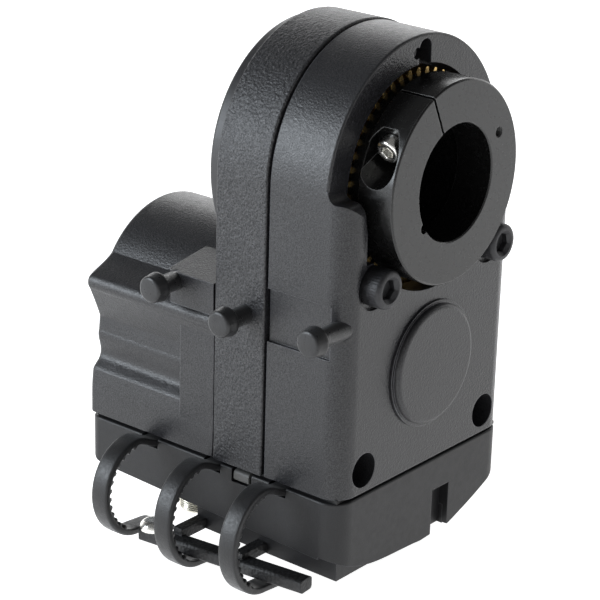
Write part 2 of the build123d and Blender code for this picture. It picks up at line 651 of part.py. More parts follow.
with BuildPart() as hub_spacers:
    disc(ring_gear_y + ring_gear_width, front_bearing_y, 18.6, hub_radius)
    disc(front_bearing_y + bearing_width, back_bearing_y, 17.9, hub_radius)
save(hub_spacers, "hub_spacers")

with BuildPart() as hub_nut:
    disc(back_bearing_y + bearing_width, hub_back_y, 19.8, hub_radius)
    with BuildSketch(at(back_bearing_y + bearing_width)):
        with PolarLocations(19.8, 4):
            Rectangle(3, 3)
    extrude(amount=back(3), mode=Mode.SUBTRACT)
save(hub_nut, "hub_nut")

ball_circle = 19.7
bearing_starts = (front_bearing_y, back_bearing_y)


def ball_groove(y_start):
    """Ring-shaped groove that the balls run in."""
    with BuildSketch(Plane.XY) as section:
        with Locations((ball_circle, y_start + bearing_width / 2)):
            Circle(ball_radius + 0.15)
    revolve(section.sketch, axis=Axis.Y, mode=Mode.SUBTRACT)


with BuildPart() as bearing_inner_rings:
    for y_start in bearing_starts:
        disc(y_start, y_start + bearing_width, 18.9, hub_radius)
        ball_groove(y_start)
save(bearing_inner_rings, "bearing_inner_rings")

with BuildPart() as bearing_outer_rings:
    for y_start in bearing_starts:
        disc(y_start, y_start + bearing_width, bearing_radius, 20.5)
        ball_groove(y_start)
save(bearing_outer_rings, "bearing_outer_rings")

with BuildPart() as bearing_balls:
    for y_start in bearing_starts:
        for number in range(ball_count):
            turn = 2 * pi * number / ball_count
            with Locations((ball_circle * cos(turn), y_start + bearing_width / 2, ball_circle * sin(turn))):
                Sphere(ball_radius)
save(bearing_balls, "bearing_balls")

with BuildPart() as retaining_ring:
    disc(back_bearing_y + bearing_width, back_bearing_y + bearing_width + 1.0, 22.7, 20.6)
    block(-3, 3, 36, 40, 15, 25, mode=Mode.SUBTRACT)
save(retaining_ring, "retaining_ring")

# ---- Gear train and motor -----------------------------------------------------------------------
idler_phase = idler_direction + 180 + 180 / idler_pinion_teeth
with BuildPart() as idler_gear:
    gear_teeth(idler_pinion_teeth, idler_phase, ring_gear_y + 0.2, ring_gear_y + 5.0, centre=idler_centre)
    disc(ring_gear_y + 5.0, wheel_y, 5.0, centre=idler_centre)
    gear_teeth(idler_wheel_teeth, wheel_direction, wheel_y, wheel_y + wheel_width, centre=idler_centre)
    disc(10, 30, axle_radius + running_gap, centre=idler_centre, mode=Mode.SUBTRACT)
save(idler_gear, "idler_gear")

with BuildPart() as idler_axle:
    disc(6.5, gearbox_y - 1.6, axle_radius, centre=idler_centre)
save(idler_axle, "idler_axle")

pinion_phase = wheel_direction + 180 + 180 / motor_pinion_teeth
with BuildPart() as motor_pinion:
    gear_teeth(motor_pinion_teeth, pinion_phase, wheel_y, wheel_y + wheel_width, centre=motor_centre)
    disc(wheel_y, wheel_y + wheel_width, motor_shaft_radius, centre=motor_centre, mode=Mode.SUBTRACT)
save(motor_pinion, "motor_pinion")

with BuildPart() as motor_shaft:
    disc(wheel_y - 0.6, 44.0, motor_shaft_radius, centre=motor_centre)
save(motor_shaft, "motor_shaft")

with BuildPart() as gearbox:
    disc(gearbox_y, gearbox_y + gearbox_length, gearbox_radius, centre=motor_centre)
    disc(gearbox_y - 2.5, gearbox_y, 6.2, centre=motor_centre)
    disc(gearbox_y - 3, 44.6, motor_shaft_radius + running_gap, centre=motor_centre, mode=Mode.SUBTRACT)
    for centre in gearbox_screw_centres:
        disc(gearbox_y, gearbox_y + 5, 1.25, centre=centre, mode=Mode.SUBTRACT)
    for y in (38.0, 46.0):
        disc(y, y + 0.6, gearbox_radius, gearbox_radius - 0.5, centre=motor_centre, mode=Mode.SUBTRACT)
save(gearbox, "gearbox")

with BuildPart() as gearbox_screws:
    socket_screws(gearbox_screw_centres, 26.7, 2.4, 2.8, 1.25, gearbox_y + 4.5, 1.3)
save(gearbox_screws, "gearbox_screws")

with BuildPart() as motor_can:
    disc(gearbox_y + gearbox_length, motor_end_y, motor_radius, centre=motor_centre)
    can_rim = edges().filter_by(GeomType.CIRCLE).sort_by(Axis.Y)[-1]
    fillet(can_rim, 1.2)
    disc(motor_end_y, motor_end_y + 1.4, 4.0, centre=motor_centre)
save(motor_can, "motor_can")

with BuildPart() as motor_terminals:
    for side in (-1, 1):
        block(motor_x + side * 9 - 1.4, motor_x + side * 9 + 1.4, motor_end_y, motor_end_y + 2.6,
              motor_z - 0.3, motor_z + 0.3)
save(motor_terminals, "motor_terminals")

# ---- Front fittings and screws ------------------------------------------------------------------
with BuildPart() as boss_cap:
    disc(3.0, lower_face_y, boss_radius, centre=boss_centre)
    front_rim = edges().filter_by(GeomType.CIRCLE).sort_by(Axis.Y)[0]
    fillet(front_rim, 1.1)
    disc(lower_face_y - boss_rim_height, lower_face_y, boss_rim_radius, centre=boss_centre)
    disc(lower_face_y, lower_face_y + 1.2, boss_seat_radius, centre=boss_centre)
save(boss_cap, "boss_cap")

with BuildPart() as housing_screws:
    socket_screws(cap_screw_centres, 0.7, 4.25, 5.0, 2.5, rear_seam_y - 4, 2.35)
save(housing_screws, "housing_screws")

with BuildPart() as deep_screws:
    socket_screws(deep_screw_centres, 13.0, 3.5, 4.0, 2.0, rear_seam_y - 3, 1.8)
save(deep_screws, "deep_screws")

with BuildPart() as arch_screw:
    disc(arch_face_y + 1.2, arch_face_y + 4.0, arch_screw_radius, centre=arch_screw_place)
    with BuildSketch(at(arch_face_y + 1.2)):
        with Locations(arch_screw_place):
            RegularPolygon(0.7, 6)
    extrude(amount=back(1.0), mode=Mode.SUBTRACT)
save(arch_screw, "arch_screw")

with BuildPart() as cover_screws:
    for centre in cover_screw_centres:
        disc(back_cover_y - 1.3, back_cover_y - 0.2, 1.9, centre=centre)
        disc(rear_seam_y - 5, back_cover_y - 1.3, 1.0, centre=centre)
        with BuildSketch(at(back_cover_y - 0.9)):
            with Locations(centre):
                RegularPolygon(1.0, 6)
        extrude(amount=back(0.8), mode=Mode.SUBTRACT)
save(cover_screws, "cover_screws")

with BuildPart() as rear_screws:
    for centre in rear_screw_centres:
        disc(back_y - 4.0, back_y - 1.0, 2.8, centre=centre)
        disc(rear_seam_y + 1, back_y - 4.0, 1.6, centre=centre)
        with BuildSketch(at(back_y - 2.8)):
            with Locations(centre):
                RegularPolygon(1.5, 6)
        extrude(amount=back(2.0), mode=Mode.SUBTRACT)
save(rear_screws, "rear_screws")

# ---- Cable pegs, straps and strap rail ----------------------------------------------------------
for name, place in peg_places.items():
    with BuildPart() as peg:
        with BuildSketch(Plane.YZ.offset(-27.0)):
            with Locations(place):
                Circle(peg_stem_radius)
        extrude(amount=peg_face_x[name] + 27.0 + 2.0)
        with BuildSketch(Plane.YZ.offset(peg_face_x[name] + 3.4)):
            with Locations(place):
                Circle(peg_head_radius)
        extrude(amount=-3.4, taper=3)
        face_rim = edges().filter_by(GeomType.CIRCLE).sort_by(Axis.X)[0]
        fillet(face_rim, 0.5)
    save(peg, name)

# A strap's middle line in X and Z: out of the seam, round an open loop, and back under the base
strap_thickness = 1.5
tooth_radius = 0.75
strap_root_z = -66.9
loop_x = -35.8
loop_top_z = -64.6
loop_half_width = 9.9
loop_bottom_z = {"strap_front": -87.6, "strap_middle": -87.6, "strap_back": -86.2}
for name, y in strap_places.items():
    loop_z = (loop_top_z + loop_bottom_z[name]) / 2
    loop_half_height = (loop_top_z - loop_bottom_z[name]) / 2
    with BuildPart() as strap:
        with BuildSketch(at(y - strap_width / 2)):
            with BuildLine():
                Line((-26.0, strap_root_z), (-29.6, strap_root_z))
                Spline(
                    (-29.6, strap_root_z), (-32.2, loop_top_z - 0.85), (loop_x, loop_top_z),
                    tangents=[(-1, 0.15), (-1, 0)],
                )
                EllipticalCenterArc(
                    (loop_x, loop_z), loop_half_width, loop_half_height, start_angle=90, arc_size=180
                )
                Line((loop_x, loop_bottom_z[name]), (-28.6, loop_bottom_z[name] - 0.6))
            trace(line_width=strap_thickness)
            # Small teeth along the loop's inner side, clear of the rail
            for number in range(13):
                turn = radians(88 + number * 12.5)
                tooth_x = loop_x + (loop_half_width - 1.0) * cos(turn)
                tooth_z = loop_z + (loop_half_height - 1.0) * sin(turn)
                with Locations((tooth_x, tooth_z)):
                    Circle(tooth_radius)
        extrude(amount=back(strap_width))
    save(strap, name)

# The rail lies inside the front and middle loops, and two arms join it to the foot's left side
rail_back = (-37.3, 53.5, -84.9)
rail_front = (-33.6, 9.8, -84.1)
rail_run = Vector(*rail_front) - Vector(*rail_back)
rail_screw_y = 51.0
rail_screw_x = -37.05
rail_top_z = -83.3
with BuildPart() as strap_rail:
    with BuildSketch(Plane(origin=rail_back, x_dir=(1, 0, 0), z_dir=rail_run)):
        RectangleRounded(4.2, 3.0, 0.8)
    extrude(amount=rail_run.length)
    for y in (25.8, 43.4):
        block(-36.0, -28.0, y, y + 2.5, -84.1, -81.6)
    upright(rail_screw_x, rail_screw_y, -90, -80, 0.9, mode=Mode.SUBTRACT)
save(strap_rail, "strap_rail")

with BuildPart() as rail_screw:
    upright(rail_screw_x, rail_screw_y, rail_top_z, rail_top_z + 2.1, 3.0)
    fillet(edges().filter_by(GeomType.CIRCLE).sort_by(Axis.Z)[-1], 1.7)
    upright(rail_screw_x, rail_screw_y, -86.0, rail_top_z, 0.9)
save(rail_screw, "rail_screw")
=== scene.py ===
"""Looks of the telescope focus motor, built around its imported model. Lengths are in millimetres
until they meet a mesh, and the frame is the model's own: +X right, +Y back, +Z up."""

import json
from math import cos, hypot, pi, radians, sin, sqrt

import bpy
from mathutils import Matrix, Vector


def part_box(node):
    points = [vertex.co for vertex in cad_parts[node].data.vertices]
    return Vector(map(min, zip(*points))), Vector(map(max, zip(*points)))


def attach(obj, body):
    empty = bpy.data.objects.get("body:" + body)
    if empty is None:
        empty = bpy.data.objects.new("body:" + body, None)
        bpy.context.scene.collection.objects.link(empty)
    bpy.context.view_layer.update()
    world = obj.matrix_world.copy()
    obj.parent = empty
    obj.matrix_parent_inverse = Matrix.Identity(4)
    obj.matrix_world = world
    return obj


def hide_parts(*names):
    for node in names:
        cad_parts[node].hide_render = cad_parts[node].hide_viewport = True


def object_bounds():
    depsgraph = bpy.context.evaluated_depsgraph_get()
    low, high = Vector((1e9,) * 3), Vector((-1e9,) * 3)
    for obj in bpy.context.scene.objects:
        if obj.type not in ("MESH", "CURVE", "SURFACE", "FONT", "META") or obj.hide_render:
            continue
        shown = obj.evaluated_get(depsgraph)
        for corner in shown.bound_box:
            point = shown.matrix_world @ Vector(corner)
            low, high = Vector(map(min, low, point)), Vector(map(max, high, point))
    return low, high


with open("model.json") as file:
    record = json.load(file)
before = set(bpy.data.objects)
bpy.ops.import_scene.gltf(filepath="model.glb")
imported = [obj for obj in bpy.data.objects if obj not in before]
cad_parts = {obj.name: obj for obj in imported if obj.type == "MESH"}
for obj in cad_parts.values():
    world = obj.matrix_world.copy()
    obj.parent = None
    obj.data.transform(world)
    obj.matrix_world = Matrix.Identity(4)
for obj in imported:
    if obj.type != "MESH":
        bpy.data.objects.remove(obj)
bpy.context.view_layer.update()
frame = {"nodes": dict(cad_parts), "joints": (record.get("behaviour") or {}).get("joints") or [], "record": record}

MM = 0.001
record = frame["record"]
mounts = {mount["name"]: mount for mount in record["mounts"]}
joints = {joint["name"]: joint for joint in frame["joints"]}

# Direction in which the camera looks across the floor, and the angles that it looks from
VIEW_AZIMUTH = radians(-50.93)
VIEW_ELEVATION = radians(20.80)
VIEW_ROLL = radians(1.596)

# Place of the camera from the frame's origin, along its own directions, and its lens
CAMERA_BACK = 462.336
CAMERA_RIGHT = -32.481
CAMERA_UP = -24.278
CAMERA_LENS = 133.71

# Faint knurls round a screw head, and the fine threads in the collar and on the power socket
KNURLS = 40
KNURL_DEPTH = 0.05
THREAD_PITCH = 0.5
THREAD_DEPTH = 0.22

# How far the specular level of a powder coat strays at its flecks
GLITTER = 0.22

# In metres: the floor's gap below the object and the place that the softboxes face. The glow is the
# strength of the light that the floor gives off
FLOOR_GAP = 0.0002
FLOOR_GLOW = 0.95
LIT_PLACE = Vector((0.0, 0.03, -0.03))

# Shape of a cable strap's loop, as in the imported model, and its ribs
STRAP_ROOT_X = -26.0
STRAP_ROOT_Z = -66.9
SEAM_X = -29.6
LOOP_X = -35.8
LOOP_TOP = -64.6
LOOP_HALF_WIDTH = 9.9
STRAP_HALF_THICKNESS = 0.75
STRAP_CORNER = 0.42
STRAP_CROWN = 0.10
STRAP_STEP = 0.17
LEAD_RUN = 6.0
LEAD_RISE = 0.9
TAIL_LENGTH = 7.2
TAIL_DROP = 0.6
RIB_PITCH = 2.2
RIB_HEIGHT = 0.75
RIBS_START = 10.4
RIBS_END = 4.2
RIB_MARGIN = 0.45


# ---- Camera -------------------------------------------------------------------------------------
def add_camera():
    """Camera at the reference view, looking at the object from the front left and above."""
    spread = cos(VIEW_ELEVATION)
    back = Vector((sin(VIEW_AZIMUTH) * spread, -cos(VIEW_AZIMUTH) * spread, sin(VIEW_ELEVATION)))
    level = Vector((cos(VIEW_AZIMUTH), sin(VIEW_AZIMUTH), 0))
    upright = back.cross(level)
    right = cos(VIEW_ROLL) * level + sin(VIEW_ROLL) * upright
    up = cos(VIEW_ROLL) * upright - sin(VIEW_ROLL) * level
    place = (CAMERA_BACK * back + CAMERA_RIGHT * right + CAMERA_UP * up) * MM
    data = bpy.data.cameras.new("camera")
    data.sensor_width = 36.0
    data.lens = CAMERA_LENS
    data.clip_start, data.clip_end = 0.01, 20.0
    camera = bpy.data.objects.new("camera", data)
    camera.matrix_world = Matrix.Translation(place) @ Matrix((right, up, back)).transposed().to_4x4()
    bpy.context.scene.collection.objects.link(camera)
    bpy.context.scene.camera = camera


add_camera()


# ---- Materials ----------------------------------------------------------------------------------
class Shader:
    """A node material with a few shortcuts for the patterns used below."""

    def __init__(self, name, colour, roughness, metallic=0.0, specular=0.5):
        self.material = bpy.data.materials.new(name)
        self.material.use_nodes = True
        self.tree = self.material.node_tree
        self.principled = self.tree.nodes["Principled BSDF"]
        self.principled.inputs["Base Color"].default_value = (*colour, 1)
        self.principled.inputs["Roughness"].default_value = roughness
        self.principled.inputs["Metallic"].default_value = metallic
        self.principled.inputs["Specular IOR Level"].default_value = specular
        self.place = self.node("ShaderNodeTexCoord").outputs["Object"]
        self.normal = None

    def node(self, kind, **inputs):
        made = self.tree.nodes.new(kind)
        for name, value in inputs.items():
            self.set(made.inputs[name.replace("_", " ")], value)
        return made

    def set(self, socket, value):
        if isinstance(value, bpy.types.NodeSocket):
            self.tree.links.new(value, socket)
        else:
            socket.default_value = value

    def math(self, operation, *values):
        made = self.tree.nodes.new("ShaderNodeMath")
        made.operation = operation
        for socket, value in zip(made.inputs, values):
            self.set(socket, value)
        return made.outputs[0]

    def noise(self, size, detail=2.0, roughness=0.5, place=None):
        """Noise whose features are about size millimetres across."""
        made = self.node("ShaderNodeTexNoise", Vector=place or self.place, Scale=1 / (size * MM),
                         Detail=detail, Roughness=roughness)
        return made.outputs["Fac"]

    def cells(self, size, smoothness=1.0):
        """Rounded cells about size millimetres across: 0 at their centres."""
        made = self.node("ShaderNodeTexVoronoi", Vector=self.place, Scale=1 / (size * MM))
        made.feature = "SMOOTH_F1"
        made.inputs["Smoothness"].default_value = smoothness
        return made.outputs["Distance"]

    def ramp(self, value, low, high, to_low=0.0, to_high=1.0):
        made = self.node("ShaderNodeMapRange", Value=value, From_Min=low, From_Max=high,
                         To_Min=to_low, To_Max=to_high)
        return made.outputs["Result"]

    def blend(self, factor, first, second):
        made = self.tree.nodes.new("ShaderNodeMix")
        made.data_type = "RGBA"
        self.set(made.inputs["Factor"], factor)
        for name, value in (("A", first), ("B", second)):
            socket = [s for s in made.inputs if s.name == name and s.type == "RGBA"][0]
            self.set(socket, (*value, 1) if isinstance(value, tuple) and len(value) == 3 else value)
        return [s for s in made.outputs if s.type == "RGBA"][0]

    def bump(self, height, depth):
        """Adds relief of depth millimetres."""
        made = self.node("ShaderNodeBump", Height=height, Distance=depth * MM, Strength=1.0)
        if self.normal is not None:
            self.set(made.inputs["Normal"], self.normal)
        self.normal = made.outputs["Normal"]

    def soft_edges(self, radius):
        """Rounds sharp edges in the shading and returns a mask that is 1 along them."""
        made = self.node("ShaderNodeBevel", Radius=radius * MM)
        made.samples = 6
        self.normal = made.outputs["Normal"]
        return self.ramp(self.facing(made.outputs["Normal"]), 0.98, 0.75)

    def facing(self, direction):
        """Cosine of the angle between the surface's normal and a direction."""
        geometry = self.tree.nodes.new("ShaderNodeNewGeometry")
        dot = self.tree.nodes.new("ShaderNodeVectorMath")
        dot.operation = "DOT_PRODUCT"
        self.set(dot.inputs[0], direction)
        self.set(dot.inputs[1], geometry.outputs["Normal"])
        return dot.outputs["Value"]

    def finish(self):
        if self.normal is not None:
            self.set(self.principled.inputs["Normal"], self.normal)
        return self.material


def scaled(colour, factor):
    return tuple(channel * factor for channel in colour)


def coat(name, colour, roughness, grain, grain_depth, fleck=0.35, shine=0.5, edge_highlight_gain=10.0, front=None):
    """Powder coat: rounded grains, pale flecks and glints between them, faint clouds and a patchy painted
    highlight along the edges. Shine is its specular level, and front is the roughness of the faces that
    look along -Y."""
    shader = Shader(name, colour, roughness, specular=shine)
    edges = shader.soft_edges(0.3)
    fine = shader.noise(grain * 0.6, detail=3.0, roughness=0.65)
    clouds = shader.noise(9.0, detail=3.0)
    dark, light = scaled(colour, 1 - fleck), scaled(colour, 1 + fleck)
    painted = shader.blend(shader.ramp(fine, 0.32, 0.68), dark, light)
    clouded = shader.blend(shader.ramp(clouds, 0.3, 0.7, 0.0, 0.16), painted, scaled(colour, 2.0))
    # Painted highlight: a patchy mask along the edges, where the colour is lightened by the edge gain
    edge_highlight_mask = shader.math("MULTIPLY", edges, shader.ramp(shader.noise(2.5), 0.3, 0.7, 0.45, 1.0))
    base = shader.blend(edge_highlight_mask, clouded, scaled(colour, edge_highlight_gain))
    shader.set(shader.principled.inputs["Base Color"], base)
    glints = shader.noise(grain * 0.5, detail=2.0)
    sparkle = shader.ramp(glints, 0.36, 0.64, shine - GLITTER * fleck, shine + GLITTER * fleck)
    rough = shader.ramp(shader.noise(1.4), 0.3, 0.7, roughness - 0.04, roughness + 0.04)
    if front is not None:
        facing = shader.facing((0, -1, 0))
        sparkle = shader.ramp(facing, 0.92, 0.98, sparkle, shine - 0.04)
        rough = shader.ramp(facing, 0.92, 0.98, rough, front)
    shader.set(shader.principled.inputs["Specular IOR Level"], sparkle)
    shader.set(shader.principled.inputs["Roughness"], rough)
    shader.bump(shader.cells(grain), grain_depth)
    shader.bump(fine, grain_depth * 0.8)
    return shader.finish()


def rubber(name, colour, roughness=0.62, grain=0.35, edge_highlight_gain=3.5):
    """Moulded rubber: a matte skin with fine pores, a faint dusty bloom and a painted highlight along the edges.
    """
    shader = Shader(name, colour, roughness, specular=0.45)
    edges = shader.soft_edges(0.22)
    bloom = shader.ramp(shader.noise(3.0, detail=4.0), 0.35, 0.75)
    skin = shader.blend(bloom, scaled(colour, 0.7), scaled(colour, 1.6))
    # Painted highlight: the colour is lightened along the edges
    base = shader.blend(edges, skin, scaled(colour, edge_highlight_gain))
    shader.set(shader.principled.inputs["Base Color"], base)
    rough = shader.ramp(shader.noise(0.8), 0.3, 0.7, roughness - 0.08, roughness + 0.08)
    shader.set(shader.principled.inputs["Roughness"], rough)
    shader.principled.inputs["Sheen Weight"].default_value = 0.08
    shader.bump(shader.noise(grain, detail=3.0), 0.05)
    return shader.finish()


def pebbled(name, colour):
    """Moulded plastic with a pebbled skin."""
    shader = Shader(name, colour, 0.55)
    shader.soft_edges(0.3)
    pebbles = shader.cells(0.7, smoothness=0.6)
    base = shader.blend(shader.ramp(pebbles, 0.0, 0.6), scaled(colour, 1.7), scaled(colour, 0.7))
    shader.set(shader.principled.inputs["Base Color"], base)
    shader.bump(pebbles, 0.16)
    return shader.finish()


def turned_black(name, colour, roughness, edge_highlight_gain, ring_pitch=0.32, ring_depth=0.004):
    """Black anodised metal with faint lathe rings round the hub's axis and a painted highlight along its thin
    edges.
    """
    shader = Shader(name, colour, roughness, specular=0.5)
    edges = shader.soft_edges(0.24)
    parts = shader.node("ShaderNodeSeparateXYZ", Vector=shader.place)
    across = shader.math("POWER", parts.outputs["X"], 2.0)
    above = shader.math("POWER", parts.outputs["Z"], 2.0)
    radius = shader.math("SQRT", shader.math("ADD", across, above))
    wobble = shader.math("MULTIPLY", shader.noise(4.0), 0.5)
    turns = shader.math("MULTIPLY", radius, 2 * pi / (ring_pitch * MM))
    rings = shader.math("SINE", shader.math("ADD", turns, wobble))
    shader.bump(rings, ring_depth)
    shader.bump(shader.noise(0.3), 0.004)
    stain = shader.ramp(shader.noise(7.0, detail=4.0), 0.3, 0.7)
    base = shader.blend(stain, scaled(colour, 0.9), scaled(colour, 1.12))
    # Painted highlight: the colour is lightened along the edges
    base = shader.blend(edges, base, scaled(colour, edge_highlight_gain))
    shader.set(shader.principled.inputs["Base Color"], base)
    rough = shader.ramp(shader.noise(1.2), 0.3, 0.7, roughness - 0.05, roughness + 0.06)
    shader.set(shader.principled.inputs["Roughness"], rough)
    return shader.finish()


def oxide(name, colour, roughness=0.42):
    """Black-oxide steel: dark, slightly oily, with paler edges."""
    shader = Shader(name, colour, roughness, metallic=0.35, specular=0.6)
    edges = shader.soft_edges(0.12)
    blotch = shader.ramp(shader.noise(0.9, detail=4.0), 0.35, 0.7)
    base = shader.blend(blotch, colour, scaled(colour, 1.6))
    base = shader.blend(edges, base, scaled(colour, 3.5))
    shader.set(shader.principled.inputs["Base Color"], base)
    rough = shader.ramp(blotch, 0.0, 1.0, roughness, roughness + 0.12)
    shader.set(shader.principled.inputs["Roughness"], rough)
    shader.bump(shader.noise(0.45, detail=3.0), 0.09)
    return shader.finish()


def metal(name, colour, roughness, brush=0.2, depth=0.004, tarnish=0.25):
    """Bare or plated metal with fine scratches and a little tarnish."""
    shader = Shader(name, colour, roughness, metallic=1.0)
    shader.soft_edges(0.1)
    stretched = shader.node("ShaderNodeMapping", Vector=shader.place)
    stretched.inputs["Scale"].default_value = (1.0, 0.12, 1.0)
    scratches = shader.noise(brush, detail=3.0, place=stretched.outputs["Vector"])
    cloud = shader.ramp(shader.noise(1.6, detail=4.0), 0.35, 0.75)
    base = shader.blend(cloud, colour, scaled(colour, 1 - tarnish))
    shader.set(shader.principled.inputs["Base Color"], base)
    rough = shader.ramp(scratches, 0.3, 0.7, roughness * 0.75, roughness * 1.3)
    shader.set(shader.principled.inputs["Roughness"], rough)
    shader.bump(scratches, depth)
    return shader.finish()


def board_material(name, colour):
    """Circuit board: green mask over copper tracks that run along the board."""
    shader = Shader(name, colour, 0.35)
    tracks = shader.node("ShaderNodeTexBrick", Vector=shader.place, Scale=1 / (9.0 * MM))
    tracks.inputs["Mortar Size"].default_value = 0.035
    base = shader.blend(tracks.outputs["Fac"], colour, scaled(colour, 2.6))
    shader.set(shader.principled.inputs["Base Color"], base)
    shader.bump(tracks.outputs["Fac"], 0.02)
    shader.bump(shader.noise(0.5), 0.005)
    return shader.finish()


CHARCOAL = (0.0145, 0.0145, 0.0162)
MID_GREY = scaled(CHARCOAL, 1.1)
BASE_GREY = scaled(CHARCOAL, 0.6)
# Each finish's edge gain sets the strength of the painted highlight along its edges
finishes = {
    "body_casting": coat("body_coat", CHARCOAL, 0.36, grain=0.45, grain_depth=0.055, fleck=0.75, front=0.2),
    "mid_casting": coat("mid_coat", MID_GREY, 0.40, grain=0.62, grain_depth=0.130, fleck=0.95),
    "motor_casting": coat("motor_coat", CHARCOAL, 0.36, grain=0.45, grain_depth=0.050, fleck=0.75),
    "base_moulding": coat("base_skin", BASE_GREY, 0.45, grain=0.4, grain_depth=0.012, fleck=0.15, shine=0.41),
    "gasket_rubber": rubber("gasket_rubber", (0.004, 0.004, 0.004)),
    "strap_rubber": rubber("strap_rubber", (0.007, 0.007, 0.008), roughness=0.40, edge_highlight_gain=1.2),
    "peg_rubber": rubber("peg_rubber", (0.012, 0.012, 0.013), roughness=0.34, grain=0.5, edge_highlight_gain=6.0),
    "rail_plastic": pebbled("rail_plastic", (0.012, 0.012, 0.013)),
    "tab_plastic": coat("tab_plastic", (0.075, 0.075, 0.073), 0.5, 0.5, 0.012, fleck=0.1, edge_highlight_gain=1.2),
    "black_oxide_steel": oxide("black_oxide", (0.018, 0.018, 0.020)),
    "anodised_collar": turned_black("anodised_collar", (0.005, 0.005, 0.005), 0.24, edge_highlight_gain=40.0),
    "bright_steel": metal("nickel_plate", (0.92, 0.91, 0.87), 0.24, tarnish=0.12),
    "hub_aluminium": turned_black("hub_anodised", (0.004, 0.004, 0.004), 0.26, edge_highlight_gain=8.0),
    "ring_brass": metal("ring_brass", (0.72, 0.50, 0.19), 0.28, tarnish=0.35),
    "gear_brass": metal("gear_brass", (0.70, 0.49, 0.20), 0.30, tarnish=0.3),
    "bearing_steel": metal("bearing_steel", (0.62, 0.62, 0.63), 0.22),
    "motor_steel": metal("motor_steel", (0.52, 0.52, 0.54), 0.38, brush=0.5),
    "contact_metal": metal("contact_metal", (0.72, 0.70, 0.60), 0.25),
    "board_green": board_material("solder_mask", (0.012, 0.07, 0.03)),
    "component_black": coat("component_epoxy", (0.03, 0.03, 0.03), 0.5, grain=0.3, grain_depth=0.01),
}
for subpart in record["subparts"]:
    for holder in frame["nodes"][subpart["node"]].material_slots:
        holder.material = finishes[subpart["material_slot"]]
# The ring cover behind the arch has the castings' colour without their grain
for holder in frame["nodes"]["back_ring_cover"].material_slots:
    holder.material = coat("ring_coat", CHARCOAL, 0.34, grain=0.4, grain_depth=0.008, fleck=0.12)


# ---- Mesh helpers -------------------------------------------------------------------------------
def add_piece(name, corners, faces, body, slot, *stands_for, sharp=35):
    """Makes a piece from corners in millimetres and lets it ride on a body."""
    mesh = bpy.data.meshes.new(name)
    mesh.from_pydata([Vector(corner) * MM for corner in corners], [], faces)
    mesh.validate()
    mesh.update()
    mesh.polygons.foreach_set("use_smooth", [True] * len(mesh.polygons))
    mesh.set_sharp_from_angle(angle=radians(sharp))
    mesh.materials.append(finishes[slot])
    piece = bpy.data.objects.new(name, mesh)
    bpy.context.scene.collection.objects.link(piece)
    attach(piece, body)
    if stands_for:
        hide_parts(*stands_for)
    return piece


def ring_radius(kind, radius, angle, height):
    """Radius of a turned section at an angle: round, a hexagon, knurled or a screw thread."""
    if kind == "hex":
        half_side = (angle % (pi / 3)) - pi / 6
        return radius * cos(pi / 6) / cos(half_side)
    if kind == "knurl":
        return radius - KNURL_DEPTH * abs(sin(angle * KNURLS / 2)) ** 1.5
    if kind == "thread":
        phase = (height / THREAD_PITCH + angle / (2 * pi)) % 1.0
        return radius - THREAD_DEPTH * abs(2 * phase - 1)
    return radius


def turned(rings, origin, axis, segments=96, looped=False):
    """Corners and faces of a form turned about an axis. Each ring is (kind, radius, distance), and
    the distance runs along the axis. A radius of 0 closes the form in a point."""
    axis = Vector(axis).normalized()
    side = axis.orthogonal().normalized()
    other = axis.cross(side)
    corners, rows = [], []
    for kind, radius, height in rings:
        middle = Vector(origin) + axis * height
        if radius == 0:
            rows.append([len(corners)] * segments)
            corners.append(middle)
            continue
        rows.append(list(range(len(corners), len(corners) + segments)))
        for step in range(segments):
            angle = 2 * pi * step / segments
            reach = ring_radius(kind, radius, angle, height)
            corners.append(middle + (side * cos(angle) + other * sin(angle)) * reach)
    faces = []
    pairs = list(zip(rows, rows[1:])) + ([(rows[-1], rows[0])] if looped else [])
    for first, second in pairs:
        for step in range(segments):
            following = (step + 1) % segments
            face = [first[step], first[following], second[following], second[step]]
            faces.append(list(dict.fromkeys(face)))
    return corners, faces


def joined(*forms):
    """One list of corners and faces from several."""
    corners, faces = [], []
    for form_corners, form_faces in forms:
        start = len(corners)
        corners += form_corners
        faces += [[start + corner for corner in face] for face in form_faces]
    return corners, faces


# ---- Screws -------------------------------------------------------------------------------------
def cap_screw(face, axis, head, head_length, socket, shank, length):
    """Socket head cap screw. The axis runs from the head's face to the tip."""
    rings = [
        ("round", 0, 0.46 * head_length),
        ("hex", socket, 0.42 * head_length),
        ("hex", socket, 0.16 * head_length),
        ("round", socket * 1.18, 0.03 * head_length),
        ("round", socket * 1.24, 0.0),
        ("round", head * 0.80, 0.0),
        ("round", head * 0.90, 0.03 * head_length),
        ("round", head * 0.97, 0.10 * head_length),
        ("knurl", head, 0.20 * head_length),
        ("knurl", head, 0.92 * head_length),
        ("round", head * 0.94, head_length),
        ("round", shank, head_length),
        ("round", shank, length - 0.4),
        ("round", shank * 0.75, length),
        ("round", 0, length),
    ]
    return turned(rings, face, axis, segments=KNURLS * 6)


def add_housing_screws():
    """Two M5 cap screws in the front face."""
    low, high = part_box("housing_screws")
    low, high = low / MM, high / MM
    head = (high.z - low.z) / 2
    forms = []
    for x in (low.x + head, high.x - head):
        face = (x, low.y, (low.z + high.z) / 2)
        forms.append(cap_screw(face, (0, 1, 0), head, 5.0, 2.35, 2.5, high.y - low.y))
    add_piece("cap_screws", *joined(*forms), "housing", "black_oxide_steel", "housing_screws")


